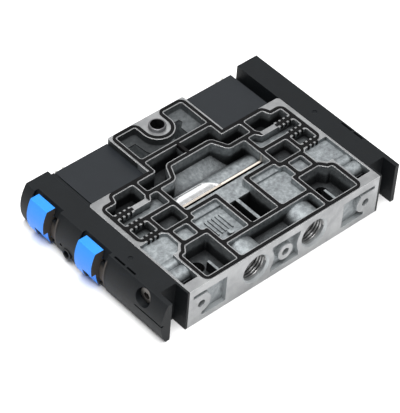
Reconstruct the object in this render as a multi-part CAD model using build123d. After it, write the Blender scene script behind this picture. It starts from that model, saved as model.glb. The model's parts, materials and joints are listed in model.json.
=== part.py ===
from build123d import *
from math import cos, pi, sin
import os

# One slice of a pneumatic valve island, in millimetres.
# While modelling, X runs along the spool, Y runs back from the port face and Z runs up through
# the slice from its plain stacking face to its sealing face. save() then moves the origin to the
# middle of the plain stacking face of the aluminium body.

os.makedirs("parts", exist_ok=True)

# ---------------------------------------------------------------- slice and body
PITCH = 14.0                # thickness of the slice, which is the pitch of the island
BODY_HALF = 35.7            # half the body's length, between the end caps
BODY_DEPTH = 41.6           # port face to the shoulders that carry the pilots
TONGUE_HALF = 14.2          # half the width of the tongue round the tie rod
TONGUE_BACK = BODY_DEPTH + 17.3     # port face to the back of the tongue
CASTING_CORNER = 1.0        # radius of the body's upright back corners

# ---------------------------------------------------------------- face seal
BEAD = 1.0                  # width of the rubber bead
RIM = 0.32                  # width of the cast rim on each side of the bead
CELL_CORNER = 0.6           # inside corner radius of a chamber
OUTER_CORNER = 1.7          # corner radius of the seal's outer edge
SEAL_DEPTH = 1.2            # depth of the channel that holds the bead
SEAL_PROUD = 0.15           # height of the bead's flat above the sealing face

# bead centre lines, as distances from the slice's middle; they spread with the body's length
WELL_LINE = 0.157 * BODY_HALF
PORT_LINE = 0.462 * BODY_HALF
WINDOW_LINE = 0.515 * BODY_HALF
SHOULDER_LINE = 0.563 * BODY_HALF
WINDOW_OUTER = 0.697 * BODY_HALF
VENT_LINE = 0.734 * BODY_HALF
CORNER_LINE = 0.812 * BODY_HALF
OUTER_LINE = BODY_HALF - 1.9
TONGUE_LINE = TONGUE_HALF - 1.1
# bead centre lines, as distances from the port face; they spread with the body's depth
FRONT_ROW = 0.85
STRIP_ROW = 0.198 * BODY_DEPTH
CORNER_ROW = 0.351 * BODY_DEPTH
WINDOW_ROW = 0.498 * BODY_DEPTH
COMB_ROW = 0.534 * BODY_DEPTH
WELL_ROW = 0.550 * BODY_DEPTH
VENT_ROW = 0.680 * BODY_DEPTH
ARM_ROW = 0.800 * BODY_DEPTH
CROWN_ROW = 0.844 * BODY_DEPTH
STEP_ROW = BODY_DEPTH - 3.2
BRIDGE_ROW = BODY_DEPTH - 1.5
SHOULDER_ROW = BODY_DEPTH - 0.6
TONGUE_ROW = BODY_DEPTH + 4.1
BACK_ROW = TONGUE_BACK - 0.7
TIE_BEAD_R = 4.4            # bead that runs round the tie-rod collar
COMB_PITCH = 1.6            # lobes of the bead that cut its rims into teeth
COMB_LOBE = 0.8
COMB_TOOTH = 0.3            # how far a tooth stands off the rim

# heights of the chamber floors above the plain face
CORNER_FLOOR = 7.5
STRIP_FLOOR = 9.0
LAND_FLOOR = 12.0
WINDOW_FLOOR = 12.4
VENT_FLOOR = 9.9
COMB_FLOOR = 11.0
ARM_FLOOR = 11.3
SHOULDER_FLOOR = 8.0
CROWN_FLOOR = 7.0
LEDGE_FLOOR = 11.4
CENTRE_FLOOR = 7.2
WELL_FLOOR = 2.5
SHELF_FLOOR = 11.6
TONGUE_FLOOR = 3.0
WELL_RIB = 0.7              # rib between the two deep wells

# ---------------------------------------------------------------- ports and fixings
PORT_X = 11.0               # the two work ports, either side of the middle
PORT_Z = 7.0
PORT_R = 4.28               # G1/8 female thread at its minor diameter
PORT_MOUTH_R = 4.9
PORT_DEPTH = 10.0
PORT_BOSS_R = 5.7           # cast boss round the port, which shows in the front chamber
PORT_DUCT_R = 2.3
FIX_X = BODY_HALF - 4.7      # M3 fixing holes in the port face
FIX_Z = 6.7
M3_CORE_R = 1.25
M3_CLEAR_R = 1.6
FIX_DEPTH = 6.5
FIX_BOSS_R = 3.4
FACE_POCKET = 1.5           # depth of the cast pockets in the port face
TIE_Y = TONGUE_BACK - 5.1    # tie-rod collar
TIE_BORE_R = 2.1
TIE_SLEEVE_R = 2.6
TIE_SLEEVE_PROUD = 1.1
TIE_SOCKET_R = 2.75         # socket in the plain face that takes the next slice's collar
TIE_SOCKET_DEPTH = 1.4

# ---------------------------------------------------------------- end caps
CAP_HALF = BODY_HALF + 7.7   # outer edge of the caps on both stacking faces
CAP_BACK = TONGUE_BACK + 0.1
NOSE_BULGE = 2.0            # how far the override nose stands out at mid height
NOTCH_IN = BODY_HALF + 0.7   # slot at the front of each cap
NOTCH_OUT = CAP_HALF - 1.4
NOTCH_DEPTH = 5.0
SCREW_Y = 8.4
SCREW_Z = 11.0
SCREW_HEAD_R = 2.4
SCREW_HEAD = 1.7
SCREW_RECESS_R = 2.75
SCREW_RECESS = 1.7
SCREW_REACH = 6.0           # length of thread in the body
SCREW_SOCKET_AF = 2.0
FLANGE = 2.2                # inward step of the cap behind the body's shoulder
FLANGE_TOP = 12.0

# ---------------------------------------------------------------- main spool
AXIS_Z = 6.2                # height of the spool, the pilots and the override stems
SPOOL_Y = 0.7163 * BODY_DEPTH
BORE_R = 3.2
BORE_WALL = 1.4             # wall of the cast barrel round the bore
RUN = 0.05                  # radial running clearance
SPOOL_STROKE = 1.5          # from the middle to each end
SPOOL_WAIST_R = 1.7
HUB_R = 1.0                 # ends of the shaft, which carry the pistons
SPOOL_HALF = BODY_HALF - 6.1
LAND_PITCH = 8.0
LAND_LENGTH = 2.6
PISTON_LENGTH = 2.0
SPRING_WIRE = 0.4

# ---------------------------------------------------------------- pilots
PILOT_Y = BODY_DEPTH + 8.5
PILOT_OUTER = BODY_HALF - 2.5       # the pilot box, from the tongue outwards
PILOT_BACK = TONGUE_BACK
PILOT_TOP = 12.0
PILOT_WALL = 1.0
COIL_R = 4.6
ARMATURE_R = 2.2
ARMATURE_LENGTH = 8.0
PILOT_STROKE = 0.5
NOZZLE_R = 1.6
NOZZLE_BORE_R = 0.9
NOZZLE_REACH = 2.6          # from the pilot box's outer side to the nozzle's tip
PIN_SIDE = 0.64
PIN_PROUD = 2.0

# ---------------------------------------------------------------- manual overrides
COVER_WIDTH = 7.0
COVER_SLIDE = 2.2           # travel of the blue cover along the nose
COVER_GAP = 0.12            # between the cover and the cap
COVER_PLACES = {"14": PILOT_Y, "12": SPOOL_Y}
TRACK_FRONT = 5.8           # track in the nose, from the cover's middle to its front wall
TRACK_BACK = 5.1
TRACK_TOP_DEPTH = 1.3       # depth of the track at the sealing face
TRACK_MID_DEPTH = 0.85
TRACK_FOOT_DEPTH = 0.2
STEM_R = 0.8
STEM_COLLAR_R = 1.6
STEM_COLLAR = 0.6
STEM_WELL_R = 1.8
STEM_LIFT = PILOT_STROKE    # how far the ramp pushes the stem


# ---------------------------------------------------------------- shared helpers
def save(node, shape):
    export_step(Pos(0, -BODY_DEPTH / 2, 0) * shape, f"parts/{node}.step")


def both(shape):
    """The shape and its mirror image on the other side of the slice's middle."""
    return shape + mirror(shape, about=Plane.YZ)


def outline(*points):
    return make_face(Polyline(*points, close=True))


def block(low, high):
    """A box between two corners."""
    size = [h - l for l, h in zip(low, high)]
    middle = [(h + l) / 2 for l, h in zip(low, high)]
    return Pos(*middle) * Box(*size)


def bar_x(radius, x0, x1, y, z):
    """A round bar along X between two stations."""
    return Pos((x0 + x1) / 2, y, z) * Rot(0, 90, 0) * Cylinder(radius, abs(x1 - x0))


def bar_y(radius, y0, y1, x, z):
    """A round bar along Y between two stations."""
    return Pos(x, (y0 + y1) / 2, z) * Rot(90, 0, 0) * Cylinder(radius, abs(y1 - y0))


def bar_z(radius, z0, z1, x, y):
    """A round bar along Z between two stations."""
    return Pos(x, y, (z0 + z1) / 2) * Cylinder(radius, abs(z1 - z0))


def coil_spring(mean_r, wire, length, turns, sides=10):
    """A compression spring from z = 0 to z = length, its square wire bent in short straight runs."""
    steps = sides * turns
    end = 0.65 * wire
    rise = (length - 2 * end) / steps
    points = [(mean_r * cos(2 * pi * n / sides), mean_r * sin(2 * pi * n / sides), end + rise * n)
              for n in range(steps + 1)]
    path = Polyline(*points)
    section = Plane(path @ 0, z_dir=path % 0) * Rectangle(wire, wire)
    return sweep(section, path=path, transition=Transition.RIGHT)


def along_x(shape, x, y, z, side=1):
    """Lay a shape made along +Z down along X, starting at x, towards side."""
    return Pos(x, y, z) * Rot(0, 90 * side, 0) * shape


# ---------------------------------------------------------------- layout of the sealing face
def half_cells():
    """Chambers on the right half, drawn along the bead centre lines."""
    notch = 2.2
    return {
        "corner": outline((PORT_LINE, FRONT_ROW), (CORNER_LINE, FRONT_ROW),
                          (CORNER_LINE, CORNER_ROW - notch), (CORNER_LINE - 0.8 * notch, CORNER_ROW - notch),
                          (WINDOW_OUTER + 0.6, CORNER_ROW), (PORT_LINE, CORNER_ROW)),
        "land": outline((WELL_LINE, STRIP_ROW), (PORT_LINE, STRIP_ROW), (PORT_LINE, CORNER_ROW),
                        (WINDOW_LINE, CORNER_ROW), (WINDOW_LINE, WINDOW_ROW), (PORT_LINE, WINDOW_ROW),
                        (PORT_LINE, WELL_ROW), (WELL_LINE, WELL_ROW)),
        "window": outline((WINDOW_LINE, CORNER_ROW), (WINDOW_OUTER, CORNER_ROW),
                          (WINDOW_OUTER, WINDOW_ROW), (WINDOW_LINE, WINDOW_ROW)),
        "vent": outline((PORT_LINE, WINDOW_ROW), (VENT_LINE, WINDOW_ROW),
                        (VENT_LINE, VENT_ROW), (PORT_LINE, VENT_ROW)),
        "comb": outline((VENT_LINE, COMB_ROW), (OUTER_LINE, COMB_ROW),
                        (OUTER_LINE, VENT_ROW), (VENT_LINE, VENT_ROW)),
        "arm": outline((PORT_LINE, VENT_ROW), (OUTER_LINE, VENT_ROW), (OUTER_LINE, ARM_ROW),
                       (SHOULDER_LINE + 1.3, ARM_ROW), (SHOULDER_LINE, CROWN_ROW), (PORT_LINE, CROWN_ROW)),
        "shoulder": outline((SHOULDER_LINE + 1.3, ARM_ROW), (OUTER_LINE, ARM_ROW), (OUTER_LINE, STEP_ROW),
                            (CORNER_LINE + 0.6, STEP_ROW), (CORNER_LINE - 0.4, SHOULDER_ROW),
                            (SHOULDER_LINE, SHOULDER_ROW), (SHOULDER_LINE, CROWN_ROW)),
    }


def middle_cells():
    """Chambers that lie across the slice's middle, drawn along the bead centre lines."""
    head, foot = TONGUE_LINE - 5.1, TONGUE_LINE - 2.7      # the crown's bead swings between these
    centre = both(outline((0, STRIP_ROW), (WELL_LINE, STRIP_ROW), (WELL_LINE, WELL_ROW),
                          (PORT_LINE, WELL_ROW), (PORT_LINE, CROWN_ROW), (foot, CROWN_ROW),
                          (head, BRIDGE_ROW), (0, BRIDGE_ROW)))
    bends = [corner for corner in centre.vertices() if head - 0.1 < abs(corner.X) < foot + 0.1]
    centre = fillet(bends, 1.5)
    crown = both(outline((0, CROWN_ROW), (SHOULDER_LINE, CROWN_ROW), (SHOULDER_LINE, SHOULDER_ROW),
                         (TONGUE_LINE, SHOULDER_ROW), (TONGUE_LINE, TONGUE_ROW), (0, TONGUE_ROW)))
    crown -= centre
    tongue = outline((-TONGUE_LINE, TONGUE_ROW), (TONGUE_LINE, TONGUE_ROW),
                     (TONGUE_LINE, BACK_ROW), (-TONGUE_LINE, BACK_ROW))
    collar = Pos(0, TIE_Y) * Circle(TIE_BEAD_R)
    collar += Pos(0, (TIE_Y + BACK_ROW + 1) / 2) * Rectangle(2 * TIE_BEAD_R, BACK_ROW + 1 - TIE_Y)
    strip = outline((-PORT_LINE, FRONT_ROW), (PORT_LINE, FRONT_ROW),
                    (PORT_LINE, STRIP_ROW), (-PORT_LINE, STRIP_ROW))
    return {"strip": strip, "crown": crown, "centre": centre, "tongue": tongue - collar}


def rounded(face, radius):
    """The face with its outward corners rounded."""
    return offset(offset(face, -radius), radius)


def opening(cell):
    """What is left of a cell inside its bead and rim."""
    inner = BEAD / 2 + RIM + CELL_CORNER
    return offset(offset(cell, -inner), CELL_CORNER)


def comb_rows():
    return (ARM_ROW, VENT_ROW, COMB_ROW)


def comb_lobes():
    """Short cross lobes of the bead, three in each of the comb's rows."""
    width = BEAD + 2 * (RIM + COMB_TOOTH)
    middle = (VENT_LINE + OUTER_LINE) / 2
    return [Pos(middle + n * COMB_PITCH, row) * Rectangle(COMB_LOBE, width)
            for row in comb_rows() for n in (-1, 0, 1)]


def comb_teeth():
    """Teeth of the rims between the lobes, which stand a little into the chambers."""
    middle = (VENT_LINE + OUTER_LINE) / 2
    half, reach = (COMB_PITCH - COMB_LOBE) / 2, BEAD / 2 + RIM + COMB_TOOTH
    teeth = Part()
    for row in comb_rows():
        for n in (-1.5, -0.5, 0.5, 1.5):
            x = middle + n * COMB_PITCH
            for side in (-1, 1):
                near, far = sorted((row + side * BEAD / 2, row + side * reach))
                teeth += block((x - half, near, PITCH - SEAL_DEPTH), (x + half, far, PITCH))
    return teeth


def seal_area(cells):
    """The channel between the rims of all chambers."""
    area = cells[0]
    for cell in cells[1:]:
        area += cell
    area = offset(rounded(area, OUTER_CORNER), BEAD / 2)
    for cell in cells:
        area -= offset(opening(cell), RIM)
    bare = Pos((SHOULDER_LINE + VENT_LINE) / 2 + 1.0, ARM_ROW) * Rectangle(VENT_LINE - SHOULDER_LINE - 0.6, 2 * BEAD)
    area -= [bare, mirror(bare, about=Plane.YZ)]
    lobes = comb_lobes()
    return area + lobes + [mirror(lobe, about=Plane.YZ) for lobe in lobes]


# ---------------------------------------------------------------- aluminium body
def body_blank():
    plate = Pos(0, BODY_DEPTH / 2) * Rectangle(2 * BODY_HALF, BODY_DEPTH)
    plate = fillet(plate.vertices().group_by(Axis.Y)[-1], CASTING_CORNER)
    tongue = Pos(0, TONGUE_BACK / 2) * Rectangle(2 * TONGUE_HALF, TONGUE_BACK)
    tongue = fillet(tongue.vertices().group_by(Axis.Y)[-1], CASTING_CORNER / 2)
    return extrude(plate + tongue, PITCH)


def chamber(cell, floor):
    return Pos(0, 0, floor) * extrude(opening(cell), PITCH - floor + 1)


def side_chambers(cells):
    """Chambers of the right half, with the cast details on their floors."""
    rib = WINDOW_OUTER - 3.3
    rib = block((rib, FRONT_ROW, 0), (rib + 0.8, STRIP_ROW - 0.4, PITCH - 3))
    step = block((WELL_LINE, WINDOW_ROW - 0.4, 0), (WINDOW_OUTER, WELL_ROW, LAND_FLOOR + 0.8))
    cuts = chamber(cells["corner"], CORNER_FLOOR) - rib
    cuts += chamber(cells["land"], LAND_FLOOR) - step
    cuts += chamber(cells["window"], WINDOW_FLOOR)
    cuts += chamber(cells["vent"], VENT_FLOOR)
    cuts += chamber(cells["comb"], COMB_FLOOR)
    cuts += chamber(cells["arm"], ARM_FLOOR)
    cuts += chamber(cells["shoulder"], SHOULDER_FLOOR)
    return cuts - comb_teeth()


def centre_chamber(cell):
    """The big middle chamber: a ledge, the cast barrel of the spool bore, and two deep wells."""
    ledge_back = WELL_ROW + 3.2
    rise = BRIDGE_ROW - CROWN_ROW
    cut = chamber(cell, CENTRE_FLOOR)
    cut -= block((-PORT_LINE, STRIP_ROW, 0), (PORT_LINE, ledge_back, LEDGE_FLOOR))
    cut -= bar_x(BORE_R + BORE_WALL, -PORT_LINE, PORT_LINE, SPOOL_Y, AXIS_Z)
    slope = outline((CROWN_ROW - 1, 0), (BRIDGE_ROW, 0), (BRIDGE_ROW, CENTRE_FLOOR + rise / 2),
                    (CROWN_ROW - 1, CENTRE_FLOOR))
    cut -= extrude(Plane.YZ * slope, PORT_LINE, both=True)
    cut -= block((-PORT_LINE, ledge_back + 0.8, 0), (PORT_LINE, ledge_back + 1.6, LEDGE_FLOOR - 0.2))
    inner = WELL_LINE - BEAD / 2 - RIM
    front, back = STRIP_ROW + BEAD / 2 + RIM, WINDOW_ROW - 0.6
    cut += block((-inner, front, WELL_FLOOR), (-WELL_RIB, back, PITCH))
    cut += block((WELL_RIB / 2, front, WELL_FLOOR), (inner, back, PITCH))
    return cut


def tongue_chamber(cell):
    """A shallow shelf round the tie-rod collar with two deep pockets in it."""
    side = TONGUE_LINE - BEAD / 2 - RIM - 0.35
    front = TONGUE_ROW + BEAD / 2 + RIM + 0.35
    area = opening(cell)
    left = outline((-side, front), (-side, TIE_Y + 0.4), (-side + 4.2, TIE_Y + 0.4),
                   (-side + 4.6, TIE_Y - 4), (-side + 5.8, front))
    right = outline((1.5, front), (side - 4.9, front), (side - 4.9, TIE_Y - 2.6),
                    (side - 3.0, TIE_Y - 1.0), (side - 3.2, TIE_Y + 0.3), (TIE_BEAD_R, TIE_Y + 0.3))
    pockets = (left + right) & area
    cut = Pos(0, 0, SHELF_FLOOR) * extrude(area, PITCH - SHELF_FLOOR + 1)
    return cut + Pos(0, 0, TONGUE_FLOOR) * extrude(pockets, PITCH - TONGUE_FLOOR)


def side_recess():
    """Open casting recess between the seal and the cap, with the screw boss left standing in it."""
    inner, outer = CORNER_LINE + 1.0, BODY_HALF - 0.6
    front, back = 3.2, COMB_ROW - 1.0
    bend = CORNER_ROW + 1.1
    area = outline((inner, front), (outer, front), (outer, back), (WINDOW_OUTER + 2.1, back),
                   (WINDOW_OUTER + 1.0, back - 1.0), (WINDOW_OUTER + 1.0, bend),
                   (inner - 1.7, bend - 2.4), (inner, bend - 2.4))
    cut = Pos(0, 0, PITCH - 1.3) * extrude(area, 3)
    cut += block((inner, front, PITCH - 2.8), (outer, bend - 2.4, PITCH + 1))
    cut += block((inner, front, PITCH - 4.2), (outer, SCREW_Y - 2.6, PITCH + 1))
    cut -= bar_x(SCREW_RECESS_R - 0.3, inner - 1, outer + 1, SCREW_Y, SCREW_Z)
    cut -= bar_x(2.1, inner - 1, outer + 1, SCREW_Y + 4, PITCH - 3)
    return cut


def face_pockets():
    """Shallow cast pockets round the bosses in the port face."""
    low, high = 2.0, PITCH - 2.7
    arm_z = high - 1.2
    inner, outer = FIX_X - 9.0, FIX_X - 2.0
    pocket = outline((inner, low), (outer + 1.7, low), (outer + 1.7, low + 1.9), (outer, low + 1.9),
                     (outer, arm_z), (outer + 5.2, arm_z), (outer + 5.2, high), (inner, high))
    pocket -= Pos(FIX_X, FIX_Z) * Circle(FIX_BOSS_R)
    middle = outline((-5.3, low), (5.3, low), (5.3, high + 0.2), (-5.3, high + 0.2))
    middle -= Pos(0, FIX_Z) * Circle(FIX_BOSS_R - 0.7)
    for side in (-1, 1):
        middle -= Pos(side * PORT_X, PORT_Z) * Circle(PORT_BOSS_R + 0.9)
    return both(extrude(Plane.XZ * pocket, -FACE_POCKET)) + extrude(Plane.XZ * middle, -FACE_POCKET)


def port_holes():
    """One threaded work port with its duct to the spool, and one M3 fixing hole."""
    mouth = PORT_MOUTH_R - PORT_R
    cut = bar_y(PORT_R, -1, PORT_DEPTH, PORT_X, PORT_Z)
    cone = Cone(PORT_R, PORT_MOUTH_R + mouth, 2 * mouth)
    cut += Pos(PORT_X, 0, PORT_Z) * Rot(90, 0, 0) * cone
    cut += bar_y(PORT_DUCT_R, PORT_DEPTH - 1, SPOOL_Y, PORT_X, AXIS_Z)
    cut += bar_y(M3_CORE_R, -1, FIX_DEPTH, FIX_X, FIX_Z)
    cut += bar_x(M3_CORE_R, BODY_HALF - SCREW_REACH, BODY_HALF + 1, SCREW_Y, SCREW_Z)
    return cut


def exhaust_duct():
    """Upright exhaust through the slice, joined to the spool bore under the vent chamber."""
    x, y = WINDOW_OUTER - 1.3, SCREW_Y + 1.6
    return bar_z(2.0, -1, CORNER_FLOOR + 1, x, y) + bar_y(1.6, y, SPOOL_Y, x, AXIS_Z - 1.2)


def valve_body(seal, side, middle):
    barrel = BORE_R + BORE_WALL
    body = body_blank()
    body -= Pos(0, 0, PITCH - SEAL_DEPTH) * extrude(seal, SEAL_DEPTH + 1)
    body -= both(side_chambers(side) + side_recess() + port_holes() + exhaust_duct())
    bosses = both(bar_y(PORT_BOSS_R, 0, BODY_DEPTH, PORT_X, PORT_Z))
    body -= chamber(middle["strip"], STRIP_FLOOR) - bosses
    web = block((-BEAD / 2, BRIDGE_ROW, 0), (BEAD / 2, TONGUE_ROW, PITCH - SEAL_DEPTH))
    body -= chamber(middle["crown"], CROWN_FLOOR) - web
    body -= centre_chamber(middle["centre"])
    body -= tongue_chamber(middle["tongue"])
    body -= face_pockets()
    body -= bar_y(M3_CORE_R, -1, NOTCH_DEPTH, 0, FIX_Z)
    body -= bar_y(1.6, CORNER_ROW, SPOOL_Y, 2.6, AXIS_Z)
    body -= bar_x(BORE_R, -BODY_HALF - 1, BODY_HALF + 1, SPOOL_Y, AXIS_Z)
    body -= bar_z(TIE_SLEEVE_R, -1, PITCH + 1, 0, TIE_Y)
    body -= bar_z(TIE_SOCKET_R, -1, TIE_SOCKET_DEPTH, 0, TIE_Y)
    for n in range(5):
        x = -WELL_LINE - 3.4 - 1.3 * n
        body += block((x, STRIP_ROW + 4, LAND_FLOOR - 0.2), (x + 0.45, STRIP_ROW + 10, LAND_FLOOR + 0.5))
    return body + bar_z(0.9, LAND_FLOOR - 0.2, LAND_FLOOR + 1.2, -PORT_X, STRIP_ROW + 2.6)


def face_seal(seal):
    """Rubber labyrinth: a flat bead that fills its channel, with a narrow lip along the crown."""
    return Pos(0, 0, PITCH - SEAL_DEPTH) * extrude(seal, SEAL_DEPTH + SEAL_PROUD)


def tie_rod_sleeve():
    sleeve = bar_z(TIE_SLEEVE_R, TIE_SOCKET_DEPTH, PITCH + TIE_SLEEVE_PROUD, 0, TIE_Y)
    sleeve = chamfer(sleeve.faces().sort_by(Axis.Z)[-1].edges(), 0.2)
    return sleeve - bar_z(TIE_BORE_R, 0, 2 * PITCH, 0, TIE_Y)


# ---------------------------------------------------------------- end caps, modelled on the right
NOSE_R = ((PITCH / 2) ** 2 + NOSE_BULGE ** 2) / (2 * NOSE_BULGE)
NOSE_X = CAP_HALF + NOSE_BULGE - NOSE_R


def cap_profile(bulge):
    """Section of a cap, with its outer side flat or arched into a nose."""
    base = outline((BODY_HALF, 0), (CAP_HALF, 0), (CAP_HALF, PITCH), (BODY_HALF, PITCH))
    if bulge == 0:
        return base
    arc = ThreePointArc((CAP_HALF, 0), (CAP_HALF + bulge, PITCH / 2), (CAP_HALF, PITCH))
    return base + make_face(arc + Line(arc @ 1, arc @ 0))


def cap_blank(bulge, flange_top):
    """End cap with its front slot, screw seat, marks and the flange behind the body's shoulder."""
    far = CAP_HALF + NOSE_BULGE + 1
    cap = extrude(Plane.XZ * cap_profile(bulge), -CAP_BACK)
    cap += block((BODY_HALF - FLANGE, BODY_DEPTH, 0), (BODY_HALF + 1, CAP_BACK, flange_top))
    cap -= block((NOTCH_IN, -1, -1), (NOTCH_OUT, NOTCH_DEPTH, PITCH + 1))
    cap -= bar_x(SCREW_RECESS_R, CAP_HALF - SCREW_RECESS, far, SCREW_Y, SCREW_Z)
    cap -= bar_x(M3_CLEAR_R, BODY_HALF - 1, far, SCREW_Y, SCREW_Z)
    for start, length in ((14.0, 3.5), (18.3, 4.2)):
        cap -= block((CAP_HALF - 1.1, start, PITCH - 1.2), (CAP_HALF - 0.45, start + length, PITCH + 1))
    return cap - gasket_ring(GASKET)


GASKET = 0.6                # thickness of the ring that seals the bore's end
GASKET_IN = BORE_R + 0.5
GASKET_OUT = GASKET_IN + 1.1


def gasket_ring(depth):
    """Ring in the cap's inner face, round the end of the spool bore."""
    ring = bar_x(GASKET_OUT, BODY_HALF, BODY_HALF + depth, SPOOL_Y, AXIS_Z)
    return ring - bar_x(GASKET_IN, BODY_HALF, BODY_HALF + depth, SPOOL_Y, AXIS_Z)


def track_floor(gap):
    """The track's floor line, deepest at the sealing face and running out at the plain face."""
    return ThreePointArc((CAP_HALF - TRACK_TOP_DEPTH + gap, PITCH),
                         (CAP_HALF + NOSE_BULGE - TRACK_MID_DEPTH + gap, PITCH / 2),
                         (CAP_HALF - TRACK_FOOT_DEPTH + gap, 0))


def track(y):
    """Cutter for the track that one blue cover slides in, with its two hooked rail grooves."""
    floor, far = track_floor(0), CAP_HALF + 2 * NOSE_BULGE
    top, foot = floor @ 0, floor @ 1
    edge = floor + Polyline(foot, (foot.X, -1), (far, -1), (far, PITCH + 1), (top.X, PITCH + 1), top)
    front, back = y - TRACK_FRONT, y + TRACK_BACK
    cut = Pos(0, front, 0) * extrude(Plane.XZ * make_face(edge), front - back)
    return cut + rails(front, back, COVER_GAP)


RAIL_X = CAP_HALF - 1.5      # inner edge of the cover's rails
RAIL_HOOK = 0.6             # hooks that hold the cover in its track
UPPER_RAIL = (9.9, 11.0)
LOWER_RAIL = (2.2, 3.3)


def rails(front, back, gap):
    """Two hooked rails behind the cover, or their grooves when widened by a gap."""
    out = CAP_HALF + 1.0
    low, high = UPPER_RAIL
    shape = block((RAIL_X - gap, front, low - gap), (out, back, high + gap))
    shape += block((RAIL_X - gap, front, low - gap), (RAIL_X + RAIL_HOOK + gap, back, high + RAIL_HOOK + gap))
    low, high = LOWER_RAIL
    shape += block((RAIL_X - gap, front, low - gap), (out, back, high + gap))
    shape += block((RAIL_X - gap, front, low - RAIL_HOOK - gap), (RAIL_X + RAIL_HOOK + gap, back, high + gap))
    return shape


STEM_TIP = CAP_HALF + 1.95          # rounded tip, inside the cover's ramp
STEM_COLLAR_X = STEM_TIP - 2.55     # outer face of the collar
STEM_SEAT_X = STEM_COLLAR_X - STEM_COLLAR - 3.0
STEM_END = {"14": PILOT_OUTER - NOZZLE_REACH, "12": BODY_HALF + 0.8}


def left_cap():
    """Cap with the arched nose, the two cover tracks and the wells of the override stems."""
    cap = cap_blank(NOSE_BULGE, FLANGE_TOP)
    far = CAP_HALF + 2 * NOSE_BULGE
    groove = block((CAP_HALF + NOSE_BULGE - 0.8, -1, PITCH / 2 - 0.25),
                   (far, SCREW_Y + 2.4, PITCH / 2 + 0.25))
    cap -= groove
    between = (COVER_PLACES["14"] + COVER_PLACES["12"]) / 2
    low = PITCH / 4
    cap += bar_x(1.7, CAP_HALF - 1, CAP_HALF + NOSE_BULGE + 0.1, between - 1, low)
    cap -= bar_x(1.1, CAP_HALF - 1, far, between - 1, low)
    cap -= bar_x(0.5, CAP_HALF, far, between + 1.6, low + 1.5)
    cap -= bar_z(0.8, PITCH - 0.3, PITCH + 1, CAP_HALF - 3.7, SCREW_Y + 11)
    for y in COVER_PLACES.values():
        cap -= track(y)
        cap -= bar_x(STEM_WELL_R, STEM_SEAT_X, far, y, AXIS_Z)
        cap -= bar_x(STEM_R + RUN, BODY_HALF - FLANGE - 1, far, y, AXIS_Z)
    cap -= bar_x(STEM_WELL_R, BODY_HALF - 1, BODY_HALF + 1.6, COVER_PLACES["12"], AXIS_Z)
    return mirror(cap, about=Plane.YZ)


def right_cap():
    cap = cap_blank(0, FLANGE_TOP - 3)
    return cap - bar_z(0.8, PITCH - 0.3, PITCH + 1, CAP_HALF - 3.6, SPOOL_Y + 0.7)


def end_gasket(side):
    ring = gasket_ring(GASKET)
    return mirror(ring, about=Plane.YZ) if side == "left" else ring


def cap_screw():
    seat = CAP_HALF - SCREW_RECESS
    screw = bar_x(SCREW_HEAD_R, seat, seat + SCREW_HEAD, SCREW_Y, SCREW_Z)
    screw += bar_x(M3_CORE_R - 0.02, BODY_HALF - SCREW_REACH + 0.4, seat, SCREW_Y, SCREW_Z)
    hexagon = Plane.YZ * Pos(SCREW_Y, SCREW_Z) * RegularPolygon(SCREW_SOCKET_AF / 2, 6, major_radius=False)
    return screw - Pos(seat + SCREW_HEAD - 1, 0, 0) * extrude(hexagon, 2)


# ---------------------------------------------------------------- blue covers and their stems
COVER_TOP = CAP_HALF + 2.8          # outer corner of the cover at the sealing face
COVER_APEX = (CAP_HALF + 4.1, 8.4)
COVER_FOOT = (CAP_HALF + 2.3, 2.3)
COVER_TOE = (CAP_HALF + 1.0, 1.1)
COVER_NOTCH = 5.9           # height under which the front half of the cover is cut back


def cover_profile():
    inner = track_floor(COVER_GAP)
    top, foot = PITCH - 0.05, COVER_TOE[1]
    back = CAP_HALF - 0.1
    face = ThreePointArc((COVER_TOP, top), COVER_APEX, COVER_FOOT)
    skin = make_face(face + Polyline(COVER_FOOT, COVER_TOE, (back - 3, foot), (back - 3, top), (COVER_TOP, top)))
    floor = make_face(inner + Polyline(inner @ 1, (back - 5, 0), (back - 5, PITCH), inner @ 0))
    relief = outline((back - 4, foot - 1), (back, foot - 1), (back, PITCH), (back - 4, PITCH))
    return skin - floor - relief


def override_cover(y):
    """Blue cover: arched plate with a finger lip, two hooked rails and the ramp for the stem."""
    front, back = y - COVER_WIDTH / 2, y + COVER_WIDTH / 2
    cover = Pos(0, front, 0) * extrude(Plane.XZ * cover_profile(), -COVER_WIDTH)
    shell = block((CAP_HALF, front - 1, 0), (CAP_HALF + 6, y + 0.4, COVER_NOTCH))
    shell -= bar_y(NOSE_R + 0.4, front - 2, y + 1, NOSE_X, PITCH / 2)
    cover -= shell
    cover += rails(front, back, 0)
    return mirror(cover - stem_ramp(y), about=Plane.YZ)


def stem_ramp(y):
    """Slot whose floor drives the stem inwards as the cover slides."""
    slope = STEM_LIFT / COVER_SLIDE
    deep = STEM_TIP + 0.1
    before, after = STEM_R + 0.3, COVER_SLIDE + STEM_R + 0.25
    inner = RAIL_X - 1
    floor = outline((inner, y - before), (deep + slope * before, y - before),
                    (deep - slope * after, y + after), (inner, y + after))
    return Pos(0, 0, AXIS_Z - STEM_R - 0.2) * extrude(floor, 2 * STEM_R + 0.4)


def override_stem(name):
    """Stem from the cover's ramp to the pilot, with the collar its spring pushes on."""
    y = COVER_PLACES[name]
    stem = bar_x(STEM_R, STEM_END[name], STEM_TIP - STEM_R, y, AXIS_Z)
    stem += Pos(STEM_TIP - STEM_R / 2, y, AXIS_Z) * Rot(0, 90, 0) * Cone(STEM_R, STEM_R / 3, STEM_R)
    stem += bar_x(STEM_COLLAR_R, STEM_COLLAR_X - STEM_COLLAR, STEM_COLLAR_X, y, AXIS_Z)
    return mirror(stem, about=Plane.YZ)


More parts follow.
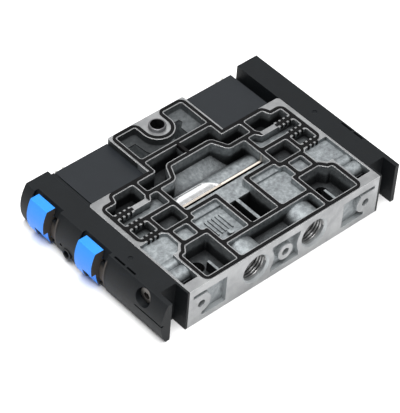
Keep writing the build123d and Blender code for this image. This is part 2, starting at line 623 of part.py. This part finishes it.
def stem_spring(name):
    free = STEM_COLLAR_X - STEM_COLLAR - STEM_SEAT_X
    spring = coil_spring(1.2, 0.3, free, 4)
    return mirror(along_x(spring, STEM_SEAT_X, COVER_PLACES[name], AXIS_Z), about=Plane.YZ)


def stem_seal():
    """Rubber disc on the inner end of stem 12, which opens the pilot passage to the spool."""
    y = COVER_PLACES["12"]
    disc = bar_x(STEM_WELL_R - 0.3, BODY_HALF + 1.0, BODY_HALF + 1.6, y, AXIS_Z)
    return mirror(disc - bar_x(STEM_R, BODY_HALF, CAP_HALF, y, AXIS_Z), about=Plane.YZ)


# ---------------------------------------------------------------- spool
def land_places():
    return [n * LAND_PITCH for n in range(-2, 3)]


def spool():
    """Turned shaft with a thinner end for each piston."""
    hub = SPOOL_HALF - PISTON_LENGTH - 0.4
    shaft = bar_x(SPOOL_WAIST_R, -hub, hub, SPOOL_Y, AXIS_Z)
    return shaft + bar_x(HUB_R, -SPOOL_HALF, SPOOL_HALF, SPOOL_Y, AXIS_Z)


def spool_lands():
    """Five rubber lands bonded round the shaft."""
    lands = []
    for x in land_places():
        land = bar_x(BORE_R - RUN, x - LAND_LENGTH / 2, x + LAND_LENGTH / 2, SPOOL_Y, AXIS_Z)
        lands.append(land - bar_x(SPOOL_WAIST_R, x - LAND_LENGTH, x + LAND_LENGTH, SPOOL_Y, AXIS_Z))
    return Compound(lands)


def piston(side):
    inner = SPOOL_HALF - PISTON_LENGTH - 0.4
    shape = bar_x(BORE_R - RUN, inner, inner + PISTON_LENGTH, SPOOL_Y, AXIS_Z)
    shape -= bar_x(HUB_R, inner - 1, SPOOL_HALF, SPOOL_Y, AXIS_Z)
    return mirror(shape, about=Plane.YZ) if side == "left" else shape


def centring_spring(side):
    start = SPOOL_HALF - 0.4
    spring = along_x(coil_spring(2.3, SPRING_WIRE, BODY_HALF - start, 5), start, SPOOL_Y, AXIS_Z)
    return mirror(spring, about=Plane.YZ) if side == "left" else spring


# ---------------------------------------------------------------- pilots, modelled on the right
TUBE_WALL = 0.5
TUBE_R = ARMATURE_R + RUN + TUBE_WALL
NOZZLE_SEAT = PILOT_OUTER - NOZZLE_REACH
PAD = 0.5
ARMATURE_OUT = NOZZLE_SEAT - 0.05 - PAD
ARMATURE_IN = ARMATURE_OUT - ARMATURE_LENGTH
CORE_OUT = ARMATURE_IN - PILOT_STROKE - 0.1
CORE_IN = TONGUE_HALF + PILOT_WALL + 1.0
SPRING_POCKET = 3.4


def pilot(shape, name):
    """Pilot 12 stays on the right, pilot 14 is its mirror image on the left."""
    return mirror(shape, about=Plane.YZ) if name == "14" else shape


def on_pilot_axis(radius, x0, x1):
    return bar_x(radius, x0, x1, PILOT_Y, AXIS_Z)


def pin_places():
    return (PILOT_OUTER - 1.7, PILOT_OUTER - 4.2)


def contact_pin(x, back):
    half = PIN_SIDE / 2
    z = PILOT_TOP - 2.0
    return block((x - half, PILOT_BACK - 4, z - half), (x + half, back, z + half))


def pilot_housing():
    box = block((TONGUE_HALF, BODY_DEPTH, 0), (PILOT_OUTER, PILOT_BACK, PILOT_TOP))
    box -= on_pilot_axis(COIL_R + 0.1, CORE_IN, PILOT_OUTER - PILOT_WALL)
    box -= on_pilot_axis(NOZZLE_R, CORE_IN, PILOT_OUTER + 1)
    for x in pin_places():
        box -= contact_pin(x, PILOT_BACK + 1)
    return box


def pilot_coil():
    coil = on_pilot_axis(COIL_R, CORE_IN + 1.2, NOZZLE_SEAT - 2.2)
    return coil - on_pilot_axis(TUBE_R + RUN, CORE_IN, NOZZLE_SEAT)


def armature_tube():
    return on_pilot_axis(TUBE_R, CORE_IN, ARMATURE_OUT) - on_pilot_axis(ARMATURE_R + RUN, 0, PILOT_OUTER)


def pole_core():
    return on_pilot_axis(ARMATURE_R + RUN, CORE_IN, CORE_OUT)


def armature():
    plunger = on_pilot_axis(ARMATURE_R, ARMATURE_IN, ARMATURE_OUT)
    return plunger - on_pilot_axis(1.2, ARMATURE_IN - 1, ARMATURE_IN + SPRING_POCKET)


def poppet_pad():
    return on_pilot_axis(NOZZLE_R - 0.2, ARMATURE_OUT, ARMATURE_OUT + PAD)


def armature_spring():
    spring = coil_spring(0.85, 0.25, ARMATURE_IN + SPRING_POCKET - CORE_OUT, 5)
    return along_x(spring, CORE_OUT, PILOT_Y, AXIS_Z)


def seat_nozzle():
    nozzle = on_pilot_axis(NOZZLE_R, NOZZLE_SEAT, PILOT_OUTER)
    nozzle += on_pilot_axis(COIL_R, NOZZLE_SEAT + 0.6, PILOT_OUTER - PILOT_WALL)
    return nozzle - on_pilot_axis(NOZZLE_BORE_R, 0, PILOT_OUTER + 1)


# ---------------------------------------------------------------- the whole slice
side_cells = half_cells()
wide_cells = middle_cells()
mirrored = [mirror(cell, about=Plane.YZ) for cell in side_cells.values()]
channel = seal_area(list(side_cells.values()) + mirrored + list(wide_cells.values()))
bridge = TONGUE_ROW - BRIDGE_ROW
channel += Pos(0, BRIDGE_ROW + bridge / 2) * Rectangle(BEAD, bridge)

save("valve_body", valve_body(channel, side_cells, wide_cells))
save("face_seal", face_seal(channel))
save("tie_rod_sleeve", tie_rod_sleeve())
save("left_cap", left_cap())
save("right_cap", right_cap())
save("cap_screws", Compound([cap_screw(), mirror(cap_screw(), about=Plane.YZ)]))
save("spool", spool())
save("spool_lands", spool_lands())
save("stem_seal_12", stem_seal())
save("contact_pins", Compound([pilot(contact_pin(x, PILOT_BACK + PIN_PROUD), name)
                               for x in pin_places() for name in ("14", "12")]))
for end in ("left", "right"):
    save(f"{end}_end_gasket", end_gasket(end))
    save(f"{end}_piston", piston(end))
    save(f"{end}_centring_spring", centring_spring(end))
for name, place in COVER_PLACES.items():
    save(f"override_cover_{name}", override_cover(place))
    save(f"override_stem_{name}", override_stem(name))
    save(f"stem_spring_{name}", stem_spring(name))
    save(f"pilot_housing_{name}", pilot(pilot_housing(), name))
    save(f"pilot_coil_{name}", pilot(pilot_coil(), name))
    save(f"armature_tube_{name}", pilot(armature_tube(), name))
    save(f"pole_core_{name}", pilot(pole_core(), name))
    save(f"armature_{name}", pilot(armature(), name))
    save(f"poppet_pad_{name}", pilot(poppet_pad(), name))
    save(f"armature_spring_{name}", pilot(armature_spring(), name))
    save(f"seat_nozzle_{name}", pilot(seat_nozzle(), name))
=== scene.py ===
import json
from math import cos, pi, sin

import bmesh
import bpy
from mathutils import Matrix, Vector


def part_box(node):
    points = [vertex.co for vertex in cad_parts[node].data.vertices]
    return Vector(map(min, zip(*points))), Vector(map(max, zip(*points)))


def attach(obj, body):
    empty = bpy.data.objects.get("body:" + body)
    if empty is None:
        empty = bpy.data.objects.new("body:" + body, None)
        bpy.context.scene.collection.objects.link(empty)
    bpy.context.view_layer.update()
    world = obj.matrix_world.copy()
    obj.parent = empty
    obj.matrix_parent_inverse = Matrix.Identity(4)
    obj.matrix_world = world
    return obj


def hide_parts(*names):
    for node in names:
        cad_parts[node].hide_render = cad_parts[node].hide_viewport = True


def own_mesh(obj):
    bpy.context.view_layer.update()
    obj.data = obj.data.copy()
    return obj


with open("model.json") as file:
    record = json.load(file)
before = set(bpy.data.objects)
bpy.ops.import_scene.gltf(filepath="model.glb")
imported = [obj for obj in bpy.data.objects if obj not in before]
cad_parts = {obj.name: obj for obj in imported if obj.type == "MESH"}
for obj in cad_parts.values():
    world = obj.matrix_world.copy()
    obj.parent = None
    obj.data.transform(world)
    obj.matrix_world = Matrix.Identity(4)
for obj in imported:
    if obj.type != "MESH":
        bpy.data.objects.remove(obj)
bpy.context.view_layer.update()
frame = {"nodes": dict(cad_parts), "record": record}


# ---------------------------------------------------------------- the cast body
# The body is pressure die-cast aluminium. Its chambers keep the cloudy, slightly wavy skin of the
# die, while the sealing face, the rims and the port face are milled flat and brighter.

class Field:
    """A value, colour or vector inside a finish; arithmetic on values adds Math nodes."""

    def __init__(self, finish, socket):
        self.finish, self.socket = finish, socket

    def math(self, operation, *values):
        return self.finish.node("Math", dict(operation=operation), dict(enumerate(values)))

    def __add__(self, other):
        return self.math("ADD", self, other)

    def __sub__(self, other):
        return self.math("SUBTRACT", self, other)

    def __rsub__(self, other):
        return self.math("SUBTRACT", other, self)

    def __mul__(self, other):
        return self.math("MULTIPLY", self, other)

    def __abs__(self):
        return self.math("ABSOLUTE", self)

    __radd__ = __add__
    __rmul__ = __mul__

    def between(self, low, high):
        """0 at low, 1 at high, smooth in between; works downwards too."""
        return self.finish.node("MapRange", dict(interpolation_type="SMOOTHSTEP"),
                                {"Value": self, "From Min": low, "From Max": high})


class Finish:
    """One material with its shader nodes."""

    def __init__(self, name, colour, roughness, metallic=0.0, **others):
        self.material = bpy.data.materials.new(name)
        self.material.use_nodes = True
        self.tree = self.material.node_tree
        self.shader = self.tree.nodes["Principled BSDF"]
        self.set(Base_Color=colour, Roughness=roughness, Metallic=metallic, **others)

    def fill(self, node, name, value):
        socket = node.inputs[name]
        if isinstance(value, Field):
            self.tree.links.new(value.socket, socket)
        elif isinstance(value, (int, float)):
            socket.default_value = value
        else:
            socket.default_value = (*value, 1.0)[:len(socket.default_value)]

    def node(self, kind, settings=None, values=None, output=0):
        node = self.tree.nodes.new("ShaderNode" + kind)
        for name, value in (settings or {}).items():
            if name == "stops":
                ramp = node.color_ramp
                while len(ramp.elements) < len(value):
                    ramp.elements.new(1.0)
                for element, (position, colour) in zip(ramp.elements, value):
                    element.position, element.color = position, (*colour, 1.0)
            else:
                setattr(node, name, value)
        for name, value in (values or {}).items():
            self.fill(node, name, value)
        return Field(self, node.outputs[output])

    def set(self, **values):
        for name, value in values.items():
            self.fill(self.shader, name.replace("_", " "), value)

    def place(self):
        return self.node("TexCoord", output="Object")

    def axes(self, vector):
        """The three parts of a vector."""
        split = self.node("SeparateXYZ", None, {"Vector": vector}).socket.node
        return [Field(self, socket) for socket in split.outputs]

    def clouds(self, size, detail=3.0, rough=0.5):
        """Soft noise with features of about that size in metres."""
        return self.node("TexNoise", None, {"Vector": self.place(), "Scale": 1.0 / size,
                                            "Detail": detail, "Roughness": rough})

    def blend(self, factor, first, second):
        return self.node("Mix", dict(data_type="RGBA"), {"Factor": factor, 6: first, 7: second}, output=2)

    def edges(self, radius):
        """1 along sharp edges, 0 on flat faces."""
        soft = self.node("Bevel", dict(samples=4), {"Radius": radius})
        plain = self.node("NewGeometry", output="Normal")
        dot = self.node("VectorMath", dict(operation="DOT_PRODUCT"), {0: soft, 1: plain}, output="Value")
        return (1 - dot).between(0.01, 0.12)

    def relief(self, height, depth, edge=None):
        """Bump of that depth in metres, with edges rounded to a radius."""
        values = {"Height": height, "Distance": depth, "Strength": 1.0}
        if edge:
            values["Normal"] = self.node("Bevel", dict(samples=4), {"Radius": edge})
        self.set(Normal=self.node("Bump", None, values))


def finish_node(name, finish):
    """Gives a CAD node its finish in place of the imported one."""
    mesh = frame["nodes"][name].data
    mesh.materials.clear()
    mesh.materials.append(finish.material)


cast = Finish("die_cast_aluminium", (0.5, 0.5, 0.5), 0.4, metallic=1.0)
x, y, z = cast.axes(cast.place())
ny, nz = cast.axes(cast.node("NewGeometry", output="Normal"))[1:]
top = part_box("valve_body")[1][2]
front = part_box("valve_body")[0][1]

# a surface is milled where it lies in the sealing or the port face and looks straight out of it
cast_depth, milled_depth = 0.00006, 0.00002
milled_top = z.between(top - cast_depth, top - milled_depth) * nz.between(0.7, 0.9)
milled_front = y.between(front + cast_depth, front + milled_depth) * ny.between(-0.7, -0.9)
milled = milled_top + milled_front
cloud = cast.clouds(0.0045, 4.0, 0.6)
flow = cast.clouds(0.0011, 5.0, 0.7)
skin = cast.node("ValToRGB", dict(stops=[(0.36, (0.15, 0.16, 0.17)), (0.5, (0.24, 0.26, 0.27)),
                                         (0.66, (0.38, 0.41, 0.42))]), {0: cloud * 0.35 + flow * 0.65})
smear = cast.clouds(0.009, 4.0, 0.6)
face = cast.blend(smear.between(0.35, 0.65), (0.27, 0.275, 0.28), (0.37, 0.375, 0.38))

# painted shade darkens the deep chambers where little of the sky is seen; the tongue's shelf is darkened evenly,
# a little more towards -x
open_sky = cast.node("AmbientOcclusion", dict(samples=8), {"Distance": 0.009}, output="AO")
front_wall = front + 0.0016
inside = y.between(front_wall, front + 0.0024)
tongue = y.between(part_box("pilot_housing_14")[0][1] + 0.004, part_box("pilot_housing_14")[0][1] + 0.0045)
shelf = tongue * z.between(0.0110, 0.0114)
deep = z.between(0.0119, 0.0100)
shade = (1 - open_sky.between(0.08 + deep * 0.22, 0.5 + deep * 0.5)) * inside * (1 - tongue) \
    + shelf * (0.55 + x.between(0.004, -0.004) * 0.3)
pale_skin, painted_dark = (0.44, 0.46, 0.47), (0.010, 0.011, 0.012)
skin = cast.blend(y.between(front_wall, front + 0.0013), skin, pale_skin)
skin = cast.blend(shade, skin, painted_dark)
bright = cast.blend(milled, skin, face)

# the rims get a painted highlight along their top edges, and one patch of the barrel over the spool is smooth,
# with a painted bright reflection on it
rim_highlight = cast.edges(0.00015) * z.between(top - 0.0006, top - 0.0002)
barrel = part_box("spool_lands")
middle = (barrel[0][1] + barrel[1][1]) / 2
burnish_and_highlight = (1 - abs(y - middle + 0.0003).between(0.0020, 0.0025)) * z.between(0.0095, 0.0102) \
    * (1 - (x + y - middle).between(-0.002, -0.0005)) * x.between(-0.0152, -0.0148) * (1 - milled)
bright = cast.blend(burnish_and_highlight, bright, (0.95, 0.96, 0.97))

# the rib beside the barrel has a painted brownish highlight line along its top, with painted shade along its
# sides
rib_middle, rib_reach = 0.00648, 0.0150
rib_shade, rib_highlight = (0.010, 0.010, 0.010), (0.80, 0.72, 0.63)
bar = abs(y - rib_middle)
bar_span = (1 - milled) * (1 - abs(x).between(rib_reach, 0.0160)) * z.between(0.0085, 0.0095)
bright = cast.blend((1 - bar.between(0.0007, 0.0009)) * bar_span, bright, rib_shade)
bright = cast.blend((1 - bar.between(0.00026, 0.0004)) * bar_span, bright, rib_highlight)
cast.set(Base_Color=cast.blend(rim_highlight, bright, (0.95, 0.95, 0.95)), Metallic=0.72 + milled * 0.2 + burnish_and_highlight * 0.28,
         Roughness=0.46 + flow * 0.16 - milled * 0.12 - burnish_and_highlight * 0.3)
grain = cast.clouds(0.00035, 2.0)
cast.relief((cloud * 0.5 + flow * 0.35 + grain * 0.15) * (1 - burnish_and_highlight), 0.0002, edge=0.00012)
finish_node("valve_body", cast)


# ---------------------------------------------------------------- work port threads
# Each G1/8 port is tapped into the body, so its wall is a fine helical thread of 28 turns to the
# inch that catches the light on every crest.

def tapped_thread(name, middle, r_root, depth, mouth, length, lead=0.000907):
    mesh = bmesh.new()
    steps, turns = 60, length / lead
    rows = []
    count = int(steps * turns)
    for i in range(count + 1):
        turn = 2 * pi * i / steps
        along = mouth + lead * i / steps
        row = []
        for part, radius in ((0.0, r_root), (0.36, r_root - depth), (0.5, r_root - depth), (0.86, r_root)):
            row.append(mesh.verts.new((middle[0] + radius * cos(turn), along + part * lead,
                                       middle[1] + radius * sin(turn))))
        rows.append(row)
    for one, two in zip(rows, rows[1:]):
        for k in range(3):
            mesh.faces.new((one[k], one[k + 1], two[k + 1], two[k]))
    bmesh.ops.recalc_face_normals(mesh, faces=mesh.faces)
    data = bpy.data.meshes.new(name)
    mesh.to_mesh(data)
    data.shade_smooth()
    piece = bpy.data.objects.new(name, data)
    bpy.context.collection.objects.link(piece)
    return piece


tapped = Finish("tapped_aluminium", (0.5, 0.5, 0.5), 0.3, metallic=1.0)
turned = tapped.clouds(0.0006, 3.0)
tapped.set(Base_Color=tapped.blend(turned, (0.20, 0.20, 0.20), (0.42, 0.42, 0.42)), Roughness=0.22 + turned * 0.2)
tapped.relief(tapped.clouds(0.0002), 0.00002)
ports = {mount["name"]: mount for mount in frame["record"]["mounts"] if mount["name"].startswith("work_port")}
for name, mount in ports.items():
    radius = mount["dims"]["r_mm"] / 1000
    middle = mount["pos_m"][0], mount["pos_m"][2]
    piece = tapped_thread(name + "_thread", middle, r_root=radius - 0.00001, depth=0.00034, mouth=front + 0.0007,
                          length=0.0082)
    piece.data.materials.append(tapped.material)
    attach(piece, "slice")


# ---------------------------------------------------------------- rubber
# The face seal is one moulding of black nitrile rubber with a slight mould bloom; the rings,
# gaskets and poppet pads inside the slice are the same rubber.

rubber = Finish("black_rubber", (0.004, 0.004, 0.004), 0.6, Specular_IOR_Level=0.1)
bloom = rubber.clouds(0.0012, 4.0)
rubber.set(Base_Color=rubber.blend(bloom, (0.002, 0.002, 0.002), (0.007, 0.007, 0.0075)),
           Roughness=0.5 + bloom * 0.3)
rubber.relief(rubber.clouds(0.0003), 0.00003, edge=0.0002)
for name in ("face_seal", "spool_lands", "stem_seal_12", "left_end_gasket", "right_end_gasket",
             "left_piston", "right_piston", "poppet_pad_14", "poppet_pad_12"):
    finish_node(name, rubber)


# ---------------------------------------------------------------- end caps
# Both end caps are moulded in charcoal glass-filled plastic with a finely sparked surface; their
# edges are rubbed a little paler.

def sparked(name, dark, light, grain=0.00022, depth=0.00003, roughness=0.42, gloss=0.3):
    """Moulded plastic with a sparked texture, faint mottling and paler edges."""
    plastic = Finish(name, dark, roughness, Specular_IOR_Level=gloss)
    mottle = plastic.clouds(0.006, 3.0)
    speckle = plastic.clouds(grain, 2.0)
    base = plastic.blend(mottle * 0.6 + speckle * 0.4, dark, light)
    pale = [min(1.0, part * 2.2 + 0.01) for part in light]
    plastic.set(Base_Color=plastic.blend(plastic.edges(0.00015) * 0.5, base, pale),
                Roughness=roughness + mottle * 0.12 + speckle * 0.1)
    plastic.relief(speckle, depth, edge=0.00015)
    return plastic


cap_dark, cap_light = (0.0025, 0.003, 0.0035), (0.008, 0.010, 0.012)
finish_node("right_cap", sparked("cap_plastic", cap_dark, cap_light, gloss=0.18))

# the left cap's two tracks are browner in front of the covers, each with a painted shadow line along the step at
# its end
nose = sparked("worn_and_shadowed_cap_plastic", cap_dark, cap_light, gloss=0.18)
track_brown, painted_step_shadow = (0.060, 0.052, 0.046), (0.001, 0.001, 0.001)
x, y, z = nose.axes(nose.place())
colour = Field(nose, nose.shader.inputs["Base Color"].links[0].from_socket)
for name in ("14", "12"):
    low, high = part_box("override_cover_" + name)
    outside = 1 - x.between(low[0] + 0.0030, low[0] + 0.0034)
    band = y.between(low[1] - 0.0029, low[1] - 0.0027) * (1 - y.between(low[1] + 0.0002, low[1] + 0.0004))
    line = 1 - abs(y - low[1] + 0.0032).between(0.00022, 0.00034)
    colour = nose.blend(band * outside, colour, track_brown)
    colour = nose.blend(line * outside, colour, painted_step_shadow)
nose.set(Base_Color=colour)
finish_node("left_cap", nose)


# ---------------------------------------------------------------- pilot solenoids
# Each pilot is a moulded box, smoother and a little bluer than the caps, overmoulded on its coil;
# the label panel on top is left bare.

pilot_plastic = sparked("pilot_plastic", (0.004, 0.0055, 0.0075), (0.011, 0.014, 0.018), depth=0.000015,
                        roughness=0.36)
finish_node("pilot_housing_14", pilot_plastic)
finish_node("pilot_housing_12", pilot_plastic)


# ---------------------------------------------------------------- override covers
# The two sliding covers of the manual override are moulded in bright azure plastic with a satin
# surface, so that they are found at a glance; their ends towards the port side are brown-grey.

azure = sparked("azure_plastic", (0.010, 0.19, 0.76), (0.025, 0.26, 0.92), depth=0.00001, roughness=0.33)
facing = azure.axes(azure.node("NewGeometry", output="Normal"))
slider_end = facing[1].between(-0.8, -0.9)
azure_colour = Field(azure, azure.shader.inputs["Base Color"].links[0].from_socket)
azure.set(Base_Color=azure.blend(slider_end, azure_colour, (0.045, 0.040, 0.036)))
for name in ("14", "12"):
    finish_node("override_cover_" + name, azure)


# ---------------------------------------------------------------- turned and drawn steel
# Stems, springs and the magnetic parts are plated or stainless steel with fine turning marks; the
# tie-rod sleeve is duller, the cap screws are blackened and the contact pins are tinned.

def turned_metal(name, dark, light, roughness=0.25):
    metal = Finish(name, light, roughness, metallic=1.0)
    stain = metal.clouds(0.0015, 3.0)
    scratch = metal.clouds(0.0002, 2.0)
    metal.set(Base_Color=metal.blend(stain * 0.7 + scratch * 0.3, dark, light),
              Roughness=roughness + stain * 0.15)
    metal.relief(scratch, 0.00001, edge=0.0001)
    return metal


steel = turned_metal("plated_steel", (0.34, 0.34, 0.35), (0.62, 0.62, 0.63))
finish_node("tie_rod_sleeve", turned_metal("dulled_steel", (0.10, 0.10, 0.105), (0.26, 0.26, 0.27)))
for name in ("override_stem_14", "override_stem_12", "pole_core_14", "pole_core_12", "armature_14", "armature_12",
             "armature_tube_14", "armature_tube_12"):
    finish_node(name, steel)
finish_node("cap_screws", turned_metal("blackened_steel", (0.08, 0.075, 0.07), (0.22, 0.21, 0.20), 0.3))
finish_node("contact_pins", turned_metal("tin_plate", (0.62, 0.61, 0.58), (0.85, 0.84, 0.80), 0.2))


# ---------------------------------------------------------------- springs
# The springs are wound from stainless wire. Each is copied from its CAD node with the steel finish and fixed to
# the slice in place of the original.

stroke, lift = 0.0015, 0.0005
for name, joint, seat, travel in (("left_centring_spring", "spool_shift", -0.0357, stroke),
                                  ("right_centring_spring", "spool_shift", 0.0357, stroke),
                                  ("stem_spring_14", "cover_14_slide", -0.0392, lift),
                                  ("stem_spring_12", "cover_12_slide", -0.0392, lift),
                                  ("armature_spring_14", "cover_14_slide", -0.02145, lift),
                                  ("armature_spring_12", "plunger_12_lift", 0.02145, lift)):
    node = frame["nodes"][name]
    coil = bpy.data.objects.new("wound_" + name, node.data.copy())
    coil.matrix_world = node.matrix_world.copy()
    coil.data.materials.clear()
    coil.data.materials.append(steel.material)
    bpy.context.collection.objects.link(coil)
    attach(coil, "slice")
    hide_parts(name)
    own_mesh(coil)


# ---------------------------------------------------------------- spool, winding and nozzles
# The spool is turned aluminium, the windings are enamelled copper wire and the seat nozzles are
# turned brass.

finish_node("spool", turned_metal("anodised_spool", (0.50, 0.51, 0.54), (0.74, 0.75, 0.78)))
copper = Finish("copper_winding", (0.6, 0.24, 0.09), 0.35, metallic=1.0)
wires = copper.node("TexWave", dict(bands_direction="X"), {"Vector": copper.place(), "Scale": 1500.0})
copper.set(Base_Color=copper.blend(wires, (0.30, 0.10, 0.03), (0.75, 0.33, 0.14)), Roughness=0.3 + wires * 0.1)
copper.relief(wires, 0.00005)
brass = turned_metal("turned_brass", (0.55, 0.38, 0.14), (0.80, 0.60, 0.28))
for name in ("14", "12"):
    finish_node("pilot_coil_" + name, copper)
    finish_node("seat_nozzle_" + name, brass)


# ---------------------------------------------------------------- floor, light and camera
# The slice lies on its plain side on a pale table, under one large soft lamp that hangs almost
# overhead; a weaker one stands behind it, and the room adds a dim even light.

def lamp(name, at, size, power, aim=(0.0, 0.0, 0.0)):
    data = bpy.data.lights.new(name, "AREA")
    data.size, data.energy = size, power
    light = bpy.data.objects.new(name, data)
    light.location = at
    light.rotation_euler = (Vector(aim) - Vector(at)).to_track_quat("-Z", "Y").to_euler()
    bpy.context.collection.objects.link(light)


half = 3.0
sheet = bpy.data.meshes.new("table")
sheet.from_pydata([(-half, -half, 0), (half, -half, 0), (half, half, 0), (-half, half, 0)], [], [(0, 1, 2, 3)])
table = bpy.data.objects.new("table", sheet)
bpy.context.collection.objects.link(table)
pale = Finish("pale_table", (0.93, 0.93, 0.93), 0.7)
sheet.materials.append(pale.material)

lamp("ceiling", (-0.15, -0.05, 1.1), 1.0, 24.0)
lamp("window", (0.75, 0.75, 0.75), 0.7, 1.6)
world = bpy.data.worlds.new("soft_room")
world.use_nodes = True
world.node_tree.nodes["Background"].inputs["Color"].default_value = (1.0, 1.0, 1.0, 1.0)
world.node_tree.nodes["Background"].inputs["Strength"].default_value = 0.3
bpy.context.scene.world = world
bpy.context.scene.view_settings.view_transform = "Standard"

lens = bpy.data.cameras.new("camera")
lens.lens = 204.5
camera = bpy.data.objects.new("camera", lens)
right, down, ahead = Vector((0.74074, -0.66880, 0.06326)), Vector((-0.43744, -0.55166, -0.71016)), \
    Vector((0.50985, 0.49837, -0.70119))
turn = Matrix((right, -down, -ahead)).transposed()
camera.matrix_world = Matrix.Translation((-0.33929, -0.31833, 0.46417)) @ turn.to_4x4()
bpy.context.collection.objects.link(camera)
bpy.context.scene.camera = camera
